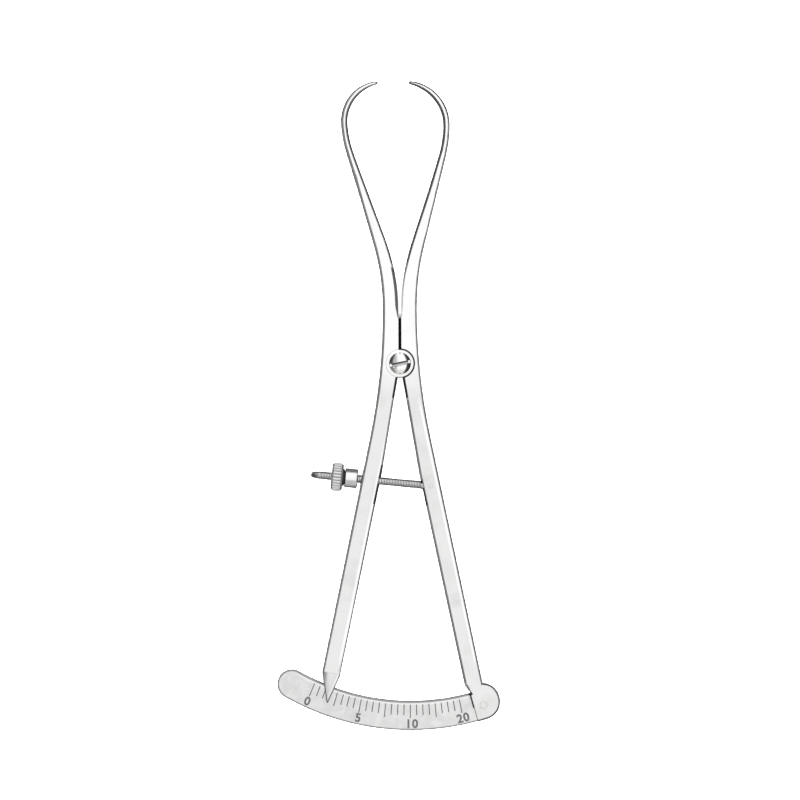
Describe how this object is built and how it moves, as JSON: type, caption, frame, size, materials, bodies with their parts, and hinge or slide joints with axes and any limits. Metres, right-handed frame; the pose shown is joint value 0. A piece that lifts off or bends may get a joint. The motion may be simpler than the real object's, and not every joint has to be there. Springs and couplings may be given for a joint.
{
  "type": "surgical caliper",
  "caption": "Steel measuring caliper with curved jaws, half-lap pivot, curved scale with pointer, and a knurled-nut adjusting screw.",
  "frame": {"origin": "on the pivot axis, in the plane of the arms' back faces", "axes": "+Y from the pivot to the measuring tips, +X towards the scale arm's side, +Z out of the graduated front face"},
  "size_m": [0.0564, 0.1644, 0.0074],
  "materials": {
    "polished_steel": "hand-polished stainless steel, near mirror with fine polishing lines",
    "scale_steel": "satin-polished stainless steel with dark engraved graduations",
    "screw_steel": "bright turned stainless steel",
    "knurled_steel": "turned stainless steel with a straight knurl"
  },
  "bodies": {
    "scale_side": {"scale_arm": "polished_steel", "scale_plate": "scale_steel", "scale_rivet": "polished_steel", "pivot_screw": "screw_steel", "cross_pin": "polished_steel"},
    "pointer_side": {"pointer_arm": "polished_steel"},
    "screw": {"adjusting_screw": "screw_steel"},
    "collar": {"thrust_collar": "screw_steel"},
    "nut": {"knurled_nut": "knurled_steel"}
  },
  "joints": [
    {"name": "tip_opening", "type": "hinge", "parent": "scale_side", "child": "pointer_side", "pos_m": [0, 0, 0.002], "axis": [0, 0, 1], "range_deg": [-2.8, 18.8]},
    {"name": "screw_tilt", "type": "hinge", "parent": "scale_side", "child": "screw", "pos_m": [0.00773, -0.031, 0.002], "axis": [0, 0, 1], "range_deg": [-1.5, 9.5]},
    {"name": "nut_travel", "type": "slide", "parent": "screw", "child": "collar", "axis": [0.9951, -0.0993, 0], "range_m": [-0.0016, 0.0101]},
    {"name": "nut_spin", "type": "hinge", "parent": "collar", "child": "nut", "pos_m": [-0.01416, -0.02882, 0.002], "axis": [0.9951, -0.0993, 0], "range_deg": [-1400, 9020]}
  ],
  "couplings": [
    {"joint": "screw_tilt", "follows": "tip_opening", "ratio": 0.5},
    {"joint": "nut_travel", "follows": "tip_opening", "m_per_rad": 0.0305},
    {"joint": "nut_spin", "follows": "tip_opening", "ratio": 479.09}
  ]
}
